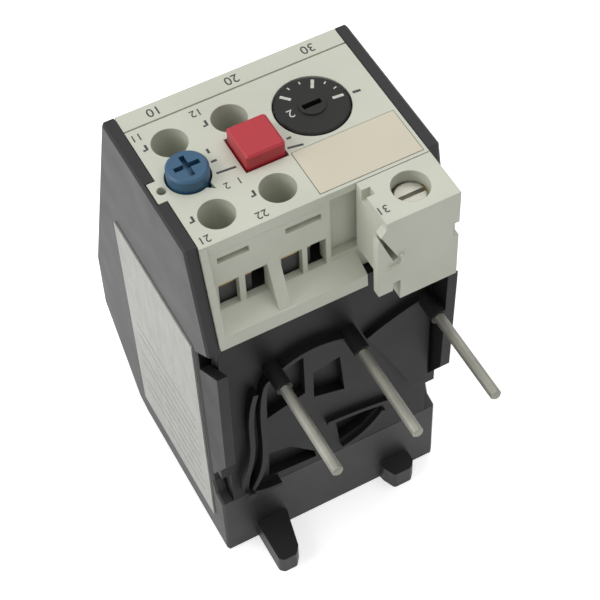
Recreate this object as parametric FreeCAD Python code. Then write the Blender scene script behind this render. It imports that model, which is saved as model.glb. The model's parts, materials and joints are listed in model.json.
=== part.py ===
import FreeCAD, Part
import math
import os

os.makedirs("parts", exist_ok=True)

# Thermal overload relay for a 45 mm contactor. Millimetres.
# It lies on its flat back: origin at the centre of the back face, +Z out of the front face,
# -Y towards the contactor (the line pins), +Y towards the load terminals.
# "near" is the pin side, "far" is the load-terminal side.

V = FreeCAD.Vector

# ---------------------------------------------------------------- driving dimensions
# shell
width = 45.0
edge_bevel = 0.4
front_z = 89.0
side_wall = 2.2
back_wall = 3.0
end_wall = 2.0
near_y = -18.0
rim_y = -14.6
groove = 0.8
end_y = 15.0
far_y = 33.5
back_far_y = 18.0
back_ramp = 3.6
back_ramp_rise = 1.0
knee_z = 19.4
far_draft = 0.7
rim_foot_z = 20.5
foot_thick = 2.4
foot_top = 16.8
shoulder_drop = 22.6
shoulder_lean = 4.6
rim_drop = 4.8
shoulder_y = -15.3

# gaps
seam = 0.15
fit = 0.05
running = 0.3

# phase barriers
barrier_thick = 1.2
barrier_inset = 4.6
barrier_rise = 3.5

# load terminals
divider = 1.6
divider_drop = 2.0
deck_z = 34.7
block_face_inset = 2.5
tongue_play = 0.2
tongue_thick = 1.2
tongue_z = 23.0
tongue_reach = 29.0
cage_wall = 1.3
cage_nut = 2.6
nut_gap = 1.8
cage_width = 10.0
cage_depth = 8.0
cage_y = 23.5
wire_room = 6.1
wire_way_width = 8.0
wire_way_lip = 0.2
load_thread = 2.0
load_head_radius = 3.6
load_head_height = 2.2
load_travel = 2.8

# line pins
pin_radius = 1.0
pin_bevel = 0.3
pin_root_radius = 0.7
pin_pitch = 14.9
pin_edge = 1.5
pin_tip_y = -42.0
pin_root_y = -12.2
pin_drop = 34.7
sleeve_radius = 1.5
sleeve_tip_y = -23.5
strip_near_y = -22.8
strip_bottom = 25.0
ear_lap = 0.5
lip_thick = 1.0
lip_reach = 1.8
rib_reach = 1.0
panel_reach = 1.3
pocket_depth = 2.0

# bimetal strips and heaters
strip_thick = 1.0
strip_width = 6.0
strip_y = -0.5
strip_foot = 6.0
strip_grip = 6.0
strip_overrun = 1.3
heater_wire = 1.2
heater_gap = 0.4
tongue_root_y = 7.0
heater_turns = 7
heater_pitch = 3.7
heater_base = 18.0

# trip slide and lever
slide_drop = 37.5
slide_thick = 2.4
slide_travel = 2.0
slide_rail = 1.7
slide_play = 0.1
slide_start = 1.6
lever_drop = 25.0
lever_from_wall = 3.7
lever_pin_radius = 1.0
lever_hub_radius = 2.4
lever_arm = 1.2
lever_face = 1.3
lever_low_half = 3.0
lever_hub_length = 13.0

# mechanism frame
frame_drop = 20.5
frame_thick = 2.0
ledge_width = 1.0
ledge_depth = 2.4
ledge_inset = 3.0
ear_width = 5.2
ear_thick = 1.6
peg_height = 4.0
stop_peg_radius = 1.2
reset_peg_radius = 1.0
terminal_post_half = 3.4
terminal_post_far = 1.9

# front cover
cover_thick = 2.5
cover_skin = 1.3
cover_near_y = -16.0
cover_toe_y = -20.0
cover_bottom_drop = 21.6
opening_floor_drop = 17.0
opening_height = 6.5
strip_line_width = 0.3
strip_line_depth = 0.4
toe_slope = 1.8
cheek = 1.2
wire_gap_left = 5.5
wire_gap_right = 2.9
boss_wall = 1.5
pocket_left = 4.6
pocket_right = 1.6
cover_pocket_depth = 1.5
pocket_back = 0.8
cover_pocket_top = 1.6
slot_line_drop = 3.8
slot_line_height = 1.4
slot_line_depth = 0.9
plate_margin = 0.6
plate_depth = 0.5
strip_line = 3.6
tab_reach = 1.4
tab_near_y = -4.8
tab_far_y = -0.3
peep_y = -2.6
peep_radius = 0.8

# auxiliary terminals
aux_edge = 5.6
aux_pitch = 10.6
aux_far_y = 5.8
aux_near_y = -10.95
well_radius = 3.03
well_wall = 0.6
guide_drop = 8.2
guide_web = 1.2
aux_plate_drop = 13.0
aux_plate = 7.0
plate_thick = 1.0
washer = 6.2
washer_thick = 1.2
washer_groove = 0.6
clamp_travel = 1.5
screw_radius = 1.7
screw_head_radius = 2.7
screw_head_height = 2.2
screw_length = 7.2
screw_slot = 0.8
screw_slot_depth = 1.1
head_bevel = 0.4
contact_x = 5.0
tail_drop = 4.8
rivet_radius = 0.95
rivet_height = 0.6
rivet_drop = 2.2
bridge_thick = 0.6
bridge_half = 1.1
finger_thick = 1.2

# dial
dial_radius = 6.25
dial_edge = 11.6
dial_y = 1.6
dial_shaft_radius = 2.5
dial_proud = 0.2
dial_bevel = 0.3
dial_shaft_length = 5.5
cam_offset = 0.8
cam_thick = 2.0
cam_lift = 1.2
dial_slot_depth = 1.4
dial_hub_radius = 2.3
dial_hub_rise = 0.25
dial_slot_length = 3.4
dial_slot_width = 1.0

# buttons
stop_x = -3.2
stop_y = -1.9
stop_width = 7.0
stop_length = 7.4
stop_proud = 3.0
stop_skirt = 2.5
stop_round = 0.6
stop_bevel = 0.4
stem_foot = 7.0
stop_stem_radius = 1.6
reset_edge = 5.1
reset_y = -1.9
reset_radius = 3.5
reset_proud = 2.5
reset_stem_radius = 2.0
reset_travel = 2.5
reset_head_lift = 0.9
collar_rim = 0.4
cross_length = 4.4
cross_width = 0.9
cross_depth = 1.2
pointer_angle = -58.0
pointer_reach = 5.2
pointer_half_angle = 16.0
pointer_depth = 1.5

# return springs
stop_spring_radius = 2.3
stop_spring_wire = 0.3
stop_spring_turns = 3
reset_spring_radius = 1.6
reset_spring_wire = 0.25
reset_spring_turns = 2

# coil terminal block
coil_left = 6.9
coil_near_y = -25.7
coil_bottom_drop = 20.5
coil_screw_edge = 6.35
coil_screw_y = -20.8
coil_plate_drop = 5.5
coil_head_radius = 2.9
latch_thick = 1.6
latch_foot = 2.6
latch_rim_thick = 0.7
latch_left = 5.6
latch_slot_depth = 3.0
foot_drop = 17.6
corner_cut = 2.7
strap_half = 3.4
side_hole_width = 1.2
side_hole_height = 3.2
side_hole_drop = 10.4
corner_drop = 15.6

# hooks on the back edge
long_hook = 9.4
short_hook = 3.6
hook_height = 4.6
hook_width = 6.3
hook_left = -16.0
hook_right = 16.8
hook_round = 0.8

# labels
label_thick = 0.3
label_inset = 1.1
label_far_y = 17.0
label_bottom = 7.0
label_drop = 27.0

# ---------------------------------------------------------------- derived sizes
half = width / 2
inner = half - side_wall
cover_half = inner - seam
chamber = (2 * inner - 2 * divider) / 3
pole_pitch = chamber + divider
tongue_width = cage_width - 2 * cage_wall - 2 * tongue_play
poles = [-pole_pitch, 0.0, pole_pitch]
barrier_x = [-pole_pitch / 2, pole_pitch / 2]
pin_z = front_z - pin_drop
pins = [inner - pin_edge - (2 - n) * pin_pitch for n in range(3)]
slide_z = front_z - slide_drop
lever_z = front_z - lever_drop
lever_x = inner - lever_from_wall
frame_z = front_z - frame_drop
cover_under = front_z - cover_thick
cover_bottom = front_z - cover_bottom_drop
plate_z = front_z - aux_plate_drop
aux_x = [-inner + aux_edge, -inner + aux_edge + aux_pitch]
dial_x = inner - dial_edge
reset_x = -inner + reset_edge
coil_screw_x = inner - coil_screw_edge
coil_bottom = front_z - coil_bottom_drop
coil_plate_z = front_z - coil_plate_drop
shoulder_z = front_z - shoulder_drop
opening_z0 = front_z - opening_floor_drop


# ---------------------------------------------------------------- shape helpers
def box(x0, x1, y0, y1, z0, z1):
    return Part.makeBox(x1 - x0, y1 - y0, z1 - z0, V(x0, y0, z0))


def post(x, y, z0, z1, radius):
    return Part.makeCylinder(radius, z1 - z0, V(x, y, z0), V(0, 0, 1))


def rod_x(x0, x1, y, z, radius):
    return Part.makeCylinder(radius, x1 - x0, V(x0, y, z), V(1, 0, 0))


def rod_y(x, y0, y1, z, radius):
    return Part.makeCylinder(radius, y1 - y0, V(x, y0, z), V(0, 1, 0))


def side_prism(outline, x0, x1):
    """Extrude a closed (Y, Z) outline from x0 to x1."""
    points = [V(x0, y, z) for y, z in outline]
    face = Part.Face(Part.makePolygon(points + points[:1]))
    return face.extrude(V(x1 - x0, 0, 0))


def plan_prism(outline, z0, z1):
    """Extrude a closed (X, Y) outline from z0 to z1."""
    points = [V(x, y, z0) for x, y in outline]
    face = Part.Face(Part.makePolygon(points + points[:1]))
    return face.extrude(V(0, 0, z1 - z0))


def front_prism(outline, y0, y1):
    """Extrude a closed (X, Z) outline from y0 to y1."""
    points = [V(x, y0, z) for x, z in outline]
    face = Part.Face(Part.makePolygon(points + points[:1]))
    return face.extrude(V(0, y1 - y0, 0))


def smooth_wall(points, y0, y1, thickness):
    """Wall of even thickness along a smooth curve through (X, Z) points, from y0 to y1."""
    middle = Part.BSplineCurve()
    middle.interpolate([V(x, y0, z) for x, z in points])
    sides = []
    for offset in (thickness / 2, -thickness / 2):
        shifted = []
        for x, z in points:
            along = middle.tangent(middle.parameter(V(x, y0, z)))[0]
            shifted.append(V(x - along.z * offset, y0, z + along.x * offset))
        edge = Part.BSplineCurve()
        edge.interpolate(shifted)
        sides.append((edge, shifted))
    (left, left_points), (right, right_points) = sides
    ends = [Part.makeLine(left_points[n], right_points[n]) for n in (0, -1)]
    outline = Part.Wire([left.toShape(), ends[1], right.toShape(), ends[0]])
    return Part.Face(outline).extrude(V(0, y1 - y0, 0))


def both_sides(shape):
    return [shape, shape.mirror(V(0, 0, 0), V(1, 0, 0))]


def fuse(shapes):
    joined = shapes[0].fuse(shapes[1:]) if len(shapes) > 1 else shapes[0]
    return joined.removeSplitter()


def save(name, shape):
    shape.exportStep("parts/" + name + ".step")


# ---------------------------------------------------------------- base housing
def near_edge_y(z):
    """Near edge of the slanted upper side wall at height z."""
    return shoulder_y - (front_z - z) * shoulder_lean / shoulder_drop


def side_outline():
    return [
        (near_y, 0), (back_far_y, 0), (back_far_y + back_ramp, back_ramp_rise),
        (far_y, knee_z), (far_y - far_draft, deck_z), (end_y, front_z),
        (shoulder_y, front_z), (near_edge_y(shoulder_z), shoulder_z),
        (rim_y, shoulder_z - rim_drop), (rim_y, rim_foot_z),
        (near_y + foot_thick, foot_top + far_draft), (near_y, foot_top),
    ]


def side_walls():
    wall = side_prism(side_outline(), inner, half)
    outer_edges = [e for e in wall.Edges if e.BoundBox.XMin > half - fit]
    return both_sides(wall.makeChamfer(edge_bevel, outer_edges))


def terminal_block():
    face_y = far_y - block_face_inset
    ramp_y = back_far_y + back_ramp
    slope = (knee_z - back_ramp_rise) / (far_y - ramp_y)
    outline = [
        (end_y - end_wall, 0), (back_far_y, 0), (ramp_y, back_ramp_rise),
        (face_y, back_ramp_rise + (face_y - ramp_y) * slope), (face_y, deck_z),
        (end_y - end_wall, deck_z),
    ]
    return side_prism(outline, -inner, inner)


def chamber_divider(x):
    outline = [
        (end_y - end_wall, deck_z - 1), (far_y - block_face_inset, knee_z - 3.5), (far_y, knee_z),
        (far_y - far_draft, deck_z), (end_y + 1.0, cover_under - divider_drop),
        (end_y - end_wall, cover_under - divider_drop),
    ]
    return side_prism(outline, x - divider / 2, x + divider / 2)


def phase_barrier(x):
    """Wall between two poles, notched at the top to guide the trip slide."""
    outline = [
        (rim_y + barrier_inset, back_wall), (end_y - end_wall, back_wall),
        (end_y - end_wall, slide_z + barrier_rise), (slide_far_y() + running, slide_z + barrier_rise),
        (slide_far_y() + running, slide_z - slide_play), (slide_near_y() - running, slide_z - slide_play),
        (slide_near_y() - running, slide_z + barrier_rise), (rim_y + barrier_inset, slide_z + barrier_rise),
    ]
    return side_prism(outline, x - barrier_thick / 2, x + barrier_thick / 2)


def strip_post(x):
    """Foot that holds the lower end of a bimetal strip."""
    side = strip_width / 2
    top = strip_foot + strip_grip
    solid = box(x - side, x + side, strip_y - side - 1, strip_y + side + 1, back_wall, top)
    slot = box(x - strip_thick / 2, x + strip_thick / 2, strip_y - side, strip_y + side, strip_foot, top)
    return solid.cut(slot)


def cage_top():
    """Height of the upper face of a load clamp at rest."""
    return tongue_z - wire_room - cage_wall + cage_height()


def cage_height():
    return cage_wall + wire_room + tongue_thick + nut_gap + cage_nut


def load_well_cuts(x):
    ledge = cage_top() + load_travel + running
    clamp_room = box(
        x - cage_width / 2 - running, x + cage_width / 2 + running,
        cage_y - cage_depth / 2 - running, cage_y + cage_depth / 2 + running,
        tongue_z - wire_room - cage_wall - running, ledge,
    )
    face_y = far_y - block_face_inset
    wire_way = box(x - wire_way_width / 2, x + wire_way_width / 2, cage_y, face_y + 1,
                   tongue_z - wire_room + running, tongue_z - wire_way_lip)
    tongue_way = box(
        x - tongue_width / 2 - fit, x + tongue_width / 2 + fit, end_y - end_wall - 1, tongue_reach + running,
        tongue_z - fit, tongue_z + tongue_thick + fit,
    )
    shank = post(x, cage_y, ledge - 1, deck_z, load_thread + running)
    head = post(x, cage_y, deck_z - load_head_height, deck_z + 1, load_head_radius + running)
    return [clamp_room, wire_way, tongue_way, shank, head]


def hooks():
    root = near_y + 1
    long_tip = near_y - long_hook
    short_tip = near_y - short_hook
    x = hook_left
    left = plan_prism([
        (x, root), (x, long_tip + hook_round), (x + hook_round, long_tip), (x + 3.4, long_tip),
        (x + 4.6, long_tip + 1.6), (x + hook_width, near_y), (x + hook_width, root),
    ], 0, hook_height)
    x = hook_right
    right = plan_prism([
        (x - hook_width, root), (x - 5.9, near_y - 1.2), (x - 4.8, short_tip),
        (x - 1.2, short_tip), (x, short_tip + 1.4), (x, root),
    ], 0, hook_height)
    return [rounded_hook(left), rounded_hook(right)]


def rounded_hook(hook):
    corners = [e for e in hook.Edges if e.BoundBox.ZLength > 1 and e.BoundBox.YMax < near_y - 2]
    return hook.makeFillet(hook_round, corners)


def frame_ledges():
    ledge = box(inner - ledge_width, inner, rim_y + ledge_inset, end_y - end_wall,
                frame_z - ledge_depth, frame_z)
    return both_sides(ledge)


def base_housing():
    back = box(-inner, inner, near_y, end_y, 0, back_wall)
    near_wall = box(-inner, inner, near_y, near_y + foot_thick, 0, foot_top)
    end = box(-inner, inner, end_y - end_wall, end_y, deck_z - 1, cover_under)
    solids = side_walls() + [back, near_wall, end, terminal_block()]
    solids += [chamber_divider(x) for x in barrier_x]
    solids += [phase_barrier(x) for x in barrier_x]
    solids += [strip_post(x) for x in poles]
    solids += hooks() + frame_ledges()
    body = fuse(solids)
    cuts = [cover_tab(seam)]
    for x in poles:
        cuts += load_well_cuts(x)
    return body.cut(cuts)


# ---------------------------------------------------------------- pin carrier
def carrier_strip():
    """Edge strip of the pin carrier, flush with the side of the housing."""
    y0 = rim_y - groove
    outline = [
        (y0, pin_z + 3.7), (strip_near_y, pin_z + 9.8), (strip_near_y + 0.8, pin_z - 18.3),
        (y0 - 0.4, strip_bottom), (y0, strip_bottom),
    ]
    return side_prism(outline, inner + running, half)


def carrier_plate():
    top = cover_bottom - seam
    y_in = rim_y - groove + 0.4
    return box(-inner + seam, inner - seam, near_y, y_in, foot_top + seam, top)


def carrier_ears():
    """Joins the plate to the edge strips."""
    y_in = rim_y - groove
    return box(inner - seam - ear_lap, half - ear_lap, near_y, y_in, strip_bottom + 1, pin_z + 2.7)


def from_pin(n, points):
    """(X, Z) points measured from the axis of pin n."""
    return [(pins[n] + x, pin_z + z) for x, z in points]


def carrier_lips():
    """Thin curved lips that keep the poles apart on the near face."""
    arch = from_pin(0, [(-1.6, -2.9), (1.0, -0.8), (6.6, 1.2), (12.2, 0.5), (15.4, -0.9)])
    inner_side = from_pin(0, [(-1.6, -2.9), (-2.7, -10.3), (-2.8, -20.3), (-3.6, -28.3), (-6.0, -34.0)])
    outer_side = from_pin(0, [(-3.7, -4.3), (-5.1, -14.3), (-5.5, -23.3), (-6.9, -29.8), (-7.2, -34.0)])
    foot = from_pin(0, [(-6.6, -34.5), (-3.6, -35.9), (0.0, -36.3)])
    lips = [smooth_wall(path, near_y - lip_reach, near_y + fit, lip_thick)
            for path in (arch, inner_side, outer_side, foot)]
    x, z = from_pin(0, [(-6.7, -34.3)])[0]
    knob = rod_y(x, near_y - lip_reach - rib_reach, near_y + fit, z, lip_thick)
    return lips + [knob]


def carrier_ribs():
    """Two low ribs that slant down between the first and second pins."""
    upper = from_pin(1, [(-4.7, -25.1), (-0.1, -25.5), (7.7, -26.9)])
    lower = from_pin(1, [(-1.7, -35.5), (3.0, -33.4), (6.9, -29.3)])
    return [smooth_wall(path, near_y - rib_reach, near_y + fit, lip_thick) for path in (upper, lower)]


def carrier_panel():
    """Raised flat panel between the second and third pins, with a curved upper edge."""
    top = from_pin(2, [(-11.8, -3.5), (-6.8, -1.1), (0.8, 1.3)])
    foot = from_pin(2, [(0.8, -25.1), (-2.2, -25.1), (-8.2, -10.9)])
    start, middle, end = [V(x, near_y, z) for x, z in top]
    rest = [end] + [V(x, near_y, z) for x, z in foot] + [start]
    rim = Part.Wire([Part.Arc(start, middle, end).toShape()] + Part.makePolygon(rest).Edges)
    return Part.Face(rim).extrude(V(0, -panel_reach, 0))


def carrier_pockets():
    """Recesses in the near face: under the arch, beside the second pin and above the foot."""
    outlines = [
        from_pin(0, [(-1.2, -15.8), (-0.9, -5.3), (2.4, -2.7), (6.4, -1.7), (6.4, -13.3)]),
        from_pin(1, [(-6.8, -15.8), (-6.8, -8.3), (-1.5, -7.1), (-0.7, -17.7)]),
        from_pin(0, [(-1.8, -34.9), (-1.4, -27.3), (3.0, -28.3), (7.8, -33.7), (8.0, -35.7)]),
        from_pin(1, [(-2.7, -26.7), (6.7, -28.1), (2.7, -32.1), (-1.9, -33.9)]),
    ]
    return [front_prism(outline, near_y - 1, near_y + pocket_depth) for outline in outlines]


def pin_sleeves():
    return [rod_y(x, sleeve_tip_y, near_y + pocket_depth + fit, pin_z, sleeve_radius) for x in pins]


def pin_carrier():
    plate = carrier_plate().cut(carrier_pockets())
    solids = [plate, carrier_panel()] + both_sides(carrier_strip()) + both_sides(carrier_ears())
    solids += carrier_lips() + carrier_ribs() + pin_sleeves()
    body = fuse(solids)
    bores = [rod_y(x, sleeve_tip_y - 1, rim_y + 2, pin_z, pin_root_radius) for x in pins]
    return body.cut(bores)


# ---------------------------------------------------------------- power path
def line_pin(x):
    """Round bar: full size outside its sleeve, slightly thinner inside."""
    pin = rod_y(x, pin_tip_y, sleeve_tip_y, pin_z, pin_radius)
    tip_edges = [e for e in pin.Edges if e.Closed and e.Curve.Center.y < pin_tip_y + 0.1]
    root = rod_y(x, sleeve_tip_y, pin_root_y, pin_z, pin_root_radius)
    return pin.makeChamfer(pin_bevel, tip_edges).fuse(root).removeSplitter()


def pin_strap(pole, x):
    """Flat strap from a line pin's inner end down to the top of its heater."""
    top = heater_base + heater_turns * heater_pitch
    x0 = pole - 2.5
    x1 = x + pin_radius + 0.2
    plate = box(x0, x1, pin_root_y - 1.0, pin_root_y, top - heater_pitch, pin_z + 2)
    foot = box(pole - 2, pole + 2, pin_root_y - 1.0, strip_y - strip_width / 2 - heater_gap - heater_wire,
               top - heater_pitch, top - heater_pitch + heater_wire)
    hole = rod_y(x, pin_root_y - 2, pin_root_y + 1, pin_z, pin_root_radius)
    return fuse([plate, foot]).cut(hole)


def bimetal_strip(x):
    return box(x - strip_thick / 2, x + strip_thick / 2, strip_y - strip_width / 2, strip_y + strip_width / 2,
               strip_foot, slide_z + slide_thick + strip_overrun)


def heater_winding(x):
    """Flat wire wound round the strip, with a lead out to the load tongue."""
    x_in = strip_thick / 2 + heater_gap
    y_in = strip_width / 2 + heater_gap
    solids = []
    for turn in range(heater_turns):
        z = heater_base + turn * heater_pitch
        ring = box(x - x_in - heater_wire, x + x_in + heater_wire, strip_y - y_in - heater_wire,
                   strip_y + y_in + heater_wire, z, z + heater_wire)
        solids.append(ring.cut(box(x - x_in, x + x_in, strip_y - y_in, strip_y + y_in, z, z + heater_wire)))
        if turn:
            side = y_in if turn % 2 else -y_in - heater_wire
            solids.append(box(x - 0.8, x + 0.8, strip_y + side, strip_y + side + heater_wire,
                              z - heater_pitch + heater_wire, z))
    solids.append(box(x - 1, x + 1, strip_y + y_in + heater_wire, tongue_root_y, heater_base,
                      heater_base + heater_wire))
    return fuse(solids)


def load_tongue(x):
    flat = box(x - tongue_width / 2, x + tongue_width / 2, tongue_root_y, tongue_reach,
               tongue_z, tongue_z + tongue_thick)
    drop = box(x - tongue_width / 2, x + tongue_width / 2, tongue_root_y, tongue_root_y + tongue_thick,
               heater_base - 2, tongue_z + tongue_thick)
    return fuse([flat, drop])


def load_clamp(x):
    """Box clamp: rectangular cage round the tongue, threaded on top."""
    z0 = tongue_z - wire_room - cage_wall
    z1 = z0 + cage_height()
    cage = box(x - cage_width / 2, x + cage_width / 2, cage_y - cage_depth / 2, cage_y + cage_depth / 2,
               z0, z1)
    window = box(x - cage_width / 2 + cage_wall, x + cage_width / 2 - cage_wall, cage_y - cage_depth,
                 cage_y + cage_depth, z0 + cage_wall, z1 - cage_nut)
    thread = post(x, cage_y, z1 - cage_nut - 1, z1 + 1, load_thread + fit)
    return cage.cut([window, thread])


def slotted_screw(x, y, head_z, head_radius, head_height, shank_radius, tip_z):
    """Pan-head screw: head_z is the underside of the head."""
    head = post(x, y, head_z, head_z + head_height, head_radius)
    rim = [e for e in head.Edges if e.Closed and e.Curve.Center.z > head_z + head_height / 2]
    head = head.makeChamfer(head_bevel, rim)
    slot = box(x - head_radius, x + head_radius, y - screw_slot / 2, y + screw_slot / 2,
               head_z + head_height - screw_slot_depth, head_z + head_height + 1)
    shank = post(x, y, tip_z, head_z, shank_radius)
    return head.cut(slot).fuse(shank).removeSplitter()


def load_screw(x):
    tip = tongue_z + tongue_thick
    return slotted_screw(x, cage_y, deck_z - load_head_height, load_head_radius, load_head_height - 0.1,
                         load_thread, tip)


# ---------------------------------------------------------------- trip mechanism
def slide_near_y():
    return strip_y - strip_width / 2 - running - slide_rail


def slide_far_y():
    return strip_y + strip_width / 2 + running + slide_rail


def slide_end_x():
    return lever_x - lever_face - running


def trip_slide():
    """Bridge over the three strips; each strip stands in a window and pushes its right edge."""
    nose = slide_thick / 2
    bar = box(-inner + slide_start, slide_end_x() - nose, slide_near_y(), slide_far_y(),
              slide_z, slide_z + slide_thick)
    end = rod_y(slide_end_x() - nose, slide_near_y(), slide_far_y(), slide_z + nose, nose)
    windows = [
        box(x - strip_thick / 2 - running - slide_travel, x + strip_thick / 2 + running,
            strip_y - strip_width / 2 - running, strip_y + strip_width / 2 + running,
            slide_z - 1, slide_z + slide_thick + 1)
        for x in poles
    ]
    return fuse([bar, end]).cut(windows)


def lever_pin():
    reach = lever_hub_length / 2 + running + ear_thick
    return rod_y(lever_x, -reach, reach, lever_z, lever_pin_radius)


def carrier_z():
    return plate_z - 6.5


def trip_lever():
    """Two-armed lever: the lower arm meets the slide, the upper arm moves the contact carrier."""
    reach = lever_hub_length / 2
    hub = rod_y(lever_x, -reach, reach, lever_z, lever_hub_radius)
    lower = box(lever_x - lever_face, lever_x - lever_face + lever_arm, -lever_low_half, lever_low_half,
                slide_z - lever_arm, lever_z)
    upper = box(lever_x - 1.0, lever_x + 0.4, -lever_low_half / 2, lever_low_half / 2, lever_z,
                carrier_z() + 4.5)
    bore = rod_y(lever_x, -reach - 1, reach + 1, lever_z, lever_pin_radius + fit)
    return fuse([hub, lower, upper]).cut(bore)


def frame_ear(y):
    """Ear under the mechanism frame that holds one end of the lever's pin."""
    return box(lever_x - ear_width / 2, lever_x + ear_width / 2, y - ear_thick / 2, y + ear_thick / 2,
               lever_z - ledge_depth, frame_z + 0.5)


def terminal_post(x, y):
    return box(x - terminal_post_half, x + terminal_post_half, y - terminal_post_half, y + terminal_post_far,
               frame_z, plate_z)


def mechanism_frame():
    """Inner plate between the power part and the auxiliary contacts."""
    ear_y = lever_hub_length / 2 + running + ear_thick / 2
    plate = box(-inner + seam, inner - seam, rim_y, end_y - end_wall - seam, frame_z, frame_z + frame_thick)
    solids = [plate, frame_ear(ear_y), frame_ear(-ear_y)]
    for y in (aux_far_y, aux_near_y):
        solids += [terminal_post(x, y) for x in aux_x]
    solids.append(post(stop_x, stop_y, frame_z, frame_z + peg_height, stop_peg_radius))
    solids.append(post(reset_x, reset_y, frame_z, frame_z + peg_height, reset_peg_radius))
    body = fuse(solids)
    swing = box(lever_x - 3.4, inner - 0.6, -4, 4, frame_z - 1, frame_z + frame_thick + 1)
    pin_way = rod_y(lever_x, -ear_y - 2, ear_y + 2, lever_z, lever_pin_radius)
    cuts = [swing, pin_way]
    for y in (aux_far_y, aux_near_y):
        cuts += [post(x, y, plate_z - 6, plate_z + 1, screw_radius + 0.5) for x in aux_x]
    return body.cut(cuts)


# ---------------------------------------------------------------- auxiliary contacts
def rivet_faces():
    """Side of the fixed contacts that each row uses: the far row opens, the near row closes."""
    return {aux_far_y: -1, aux_near_y: 1}


def left_terminal(y):
    """Terminal plate by the side wall; its tail passes under the other terminal."""
    x = aux_x[0]
    side = aux_plate / 2
    tail0 = y + 2.2
    tail1 = y + 4.2
    plate = box(x - side, x + side, y - side, y + side, plate_z, plate_z + plate_thick)
    ear = box(x + side - plate_thick, x + side, tail0, tail1, plate_z - tail_drop, plate_z + plate_thick)
    run = box(x + side - plate_thick, contact_x + plate_thick, tail0, tail1,
              plate_z - tail_drop, plate_z - tail_drop + plate_thick)
    blade = box(contact_x, contact_x + plate_thick, tail0, tail1, plate_z - tail_drop, plate_z + 1.5)
    return finish_terminal([plate, ear, run, blade], x, y, (tail0 + tail1) / 2)


def right_terminal(y):
    x = aux_x[1]
    side = aux_plate / 2
    tail0 = y - 2.4
    tail1 = y - 0.4
    plate = box(x - side, x + side, y - side, y + side, plate_z, plate_z + plate_thick)
    run = box(x + side, contact_x + plate_thick, tail0, tail1, plate_z, plate_z + plate_thick)
    blade = box(contact_x, contact_x + plate_thick, tail0, tail1, plate_z - 4.5, plate_z + 1.5)
    return finish_terminal([plate, run, blade], x, y, (tail0 + tail1) / 2)


def finish_terminal(solids, x, y, contact_y):
    side = rivet_faces()[y]
    z = plate_z - rivet_drop
    if side < 0:
        rivet = rod_x(contact_x - rivet_height, contact_x, contact_y, z, rivet_radius)
    else:
        rivet = rod_x(contact_x + plate_thick, contact_x + plate_thick + rivet_height, contact_y, z,
                      rivet_radius)
    body = fuse(solids + [rivet])
    return body.cut(post(x, y, plate_z - 1, plate_z + 2, screw_radius + fit))


def clamp_washer(x, y, z):
    side = washer / 2
    plate = box(x - side, x + side, y - side, y + side, z, z + washer_thick)
    grooves = [rod_x(x - side - 1, x + side + 1, y + offset, z - 0.5, 0.8)
               for offset in (washer_groove - side, side - washer_groove)]
    return plate.cut(grooves + [post(x, y, z - 1, z + 2, screw_radius + 0.1)])


def terminal_screw(x, y, z, head_radius=screw_head_radius):
    return slotted_screw(x, y, z, head_radius, screw_head_height, screw_radius, z - screw_length)


def finger_y(y):
    return y + 0.3


def contact_carrier():
    """Moulded slider; a finger for each contact bridge."""
    x0 = contact_x + 5.2
    x1 = lever_x - 1.0 - running
    z0 = carrier_z()
    bar = box(x0, x1, aux_near_y - 2.0, aux_far_y + 4.0, z0 + 2.8, z0 + 6.0)
    shoe = box(x0, x0 + 4, aux_near_y + 2.0, aux_far_y + 1.0, frame_z + frame_thick, z0 + 3.0)
    reach = {aux_far_y: contact_x - 3.4, aux_near_y: contact_x + 3.2}
    fingers = [box(reach[y], x0 + 1, finger_y(y), finger_y(y) + finger_thick, z0 + 3.4, z0 + 5.4)
               for y in reach]
    return fuse([bar, shoe] + fingers)


def contact_bridge(y, x, side):
    """Bridge strip with two rivets; it sits on the carrier's finger."""
    z = plate_z - rivet_drop
    strip = box(x, x + bridge_thick, y - 2.4, y + 4.2, z - bridge_half, z + bridge_half)
    root = x + bridge_thick if side > 0 else x - rivet_height
    rivets = [rod_x(root, root + rivet_height, rivet_y, z, rivet_radius) for rivet_y in (y - 1.4, y + 3.2)]
    hole = box(x - 1, x + 2, finger_y(y), finger_y(y) + finger_thick, carrier_z() + 3.4, carrier_z() + 5.4)
    return fuse([strip] + rivets).cut(hole)


# ---------------------------------------------------------------- front cover
def wire_openings():
    pairs = [(aux_x[0] - 3.1, aux_x[0] + 0.5), (aux_x[0] + 1.6, aux_x[0] + wire_gap_left),
             (aux_x[1] - wire_gap_right + 0.3, aux_x[1] + 1.2), (aux_x[1] + 2.1, aux_x[1] + wire_gap_left)]
    return [box(x0, x1, cover_near_y - 1, cover_near_y + cover_skin + 1, opening_z0,
                opening_z0 + opening_height) for x0, x1 in pairs]


def cover_shell():
    plate = box(-cover_half, cover_half, cover_near_y, end_y, cover_under, front_z)
    inner_y = cover_near_y + cover_skin
    side = side_prism([(inner_y, front_z), (end_y - end_wall - seam, front_z),
                       (end_y - end_wall - seam, frame_z + frame_thick), (inner_y, frame_z + frame_thick)],
                      cover_half - cover_skin, cover_half)
    return [plate] + both_sides(side)


def cover_tab(gap):
    """Small latch tab that reaches over the left side wall."""
    return box(-inner - tab_reach - gap, -inner + gap, tab_near_y - gap, tab_far_y + gap, cover_under - gap,
               front_z + gap)


def pointer_notch():
    """Triangular notch beside the reset button that points out its settings."""
    root = reset_radius - running
    corners = []
    for radius, turn in ((root, -pointer_half_angle), (pointer_reach, 0), (root, pointer_half_angle)):
        angle = math.radians(pointer_angle + turn)
        corners.append((reset_x + radius * math.cos(angle), reset_y + radius * math.sin(angle)))
    return plan_prism(corners, front_z - pointer_depth, front_z + 1)


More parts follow.
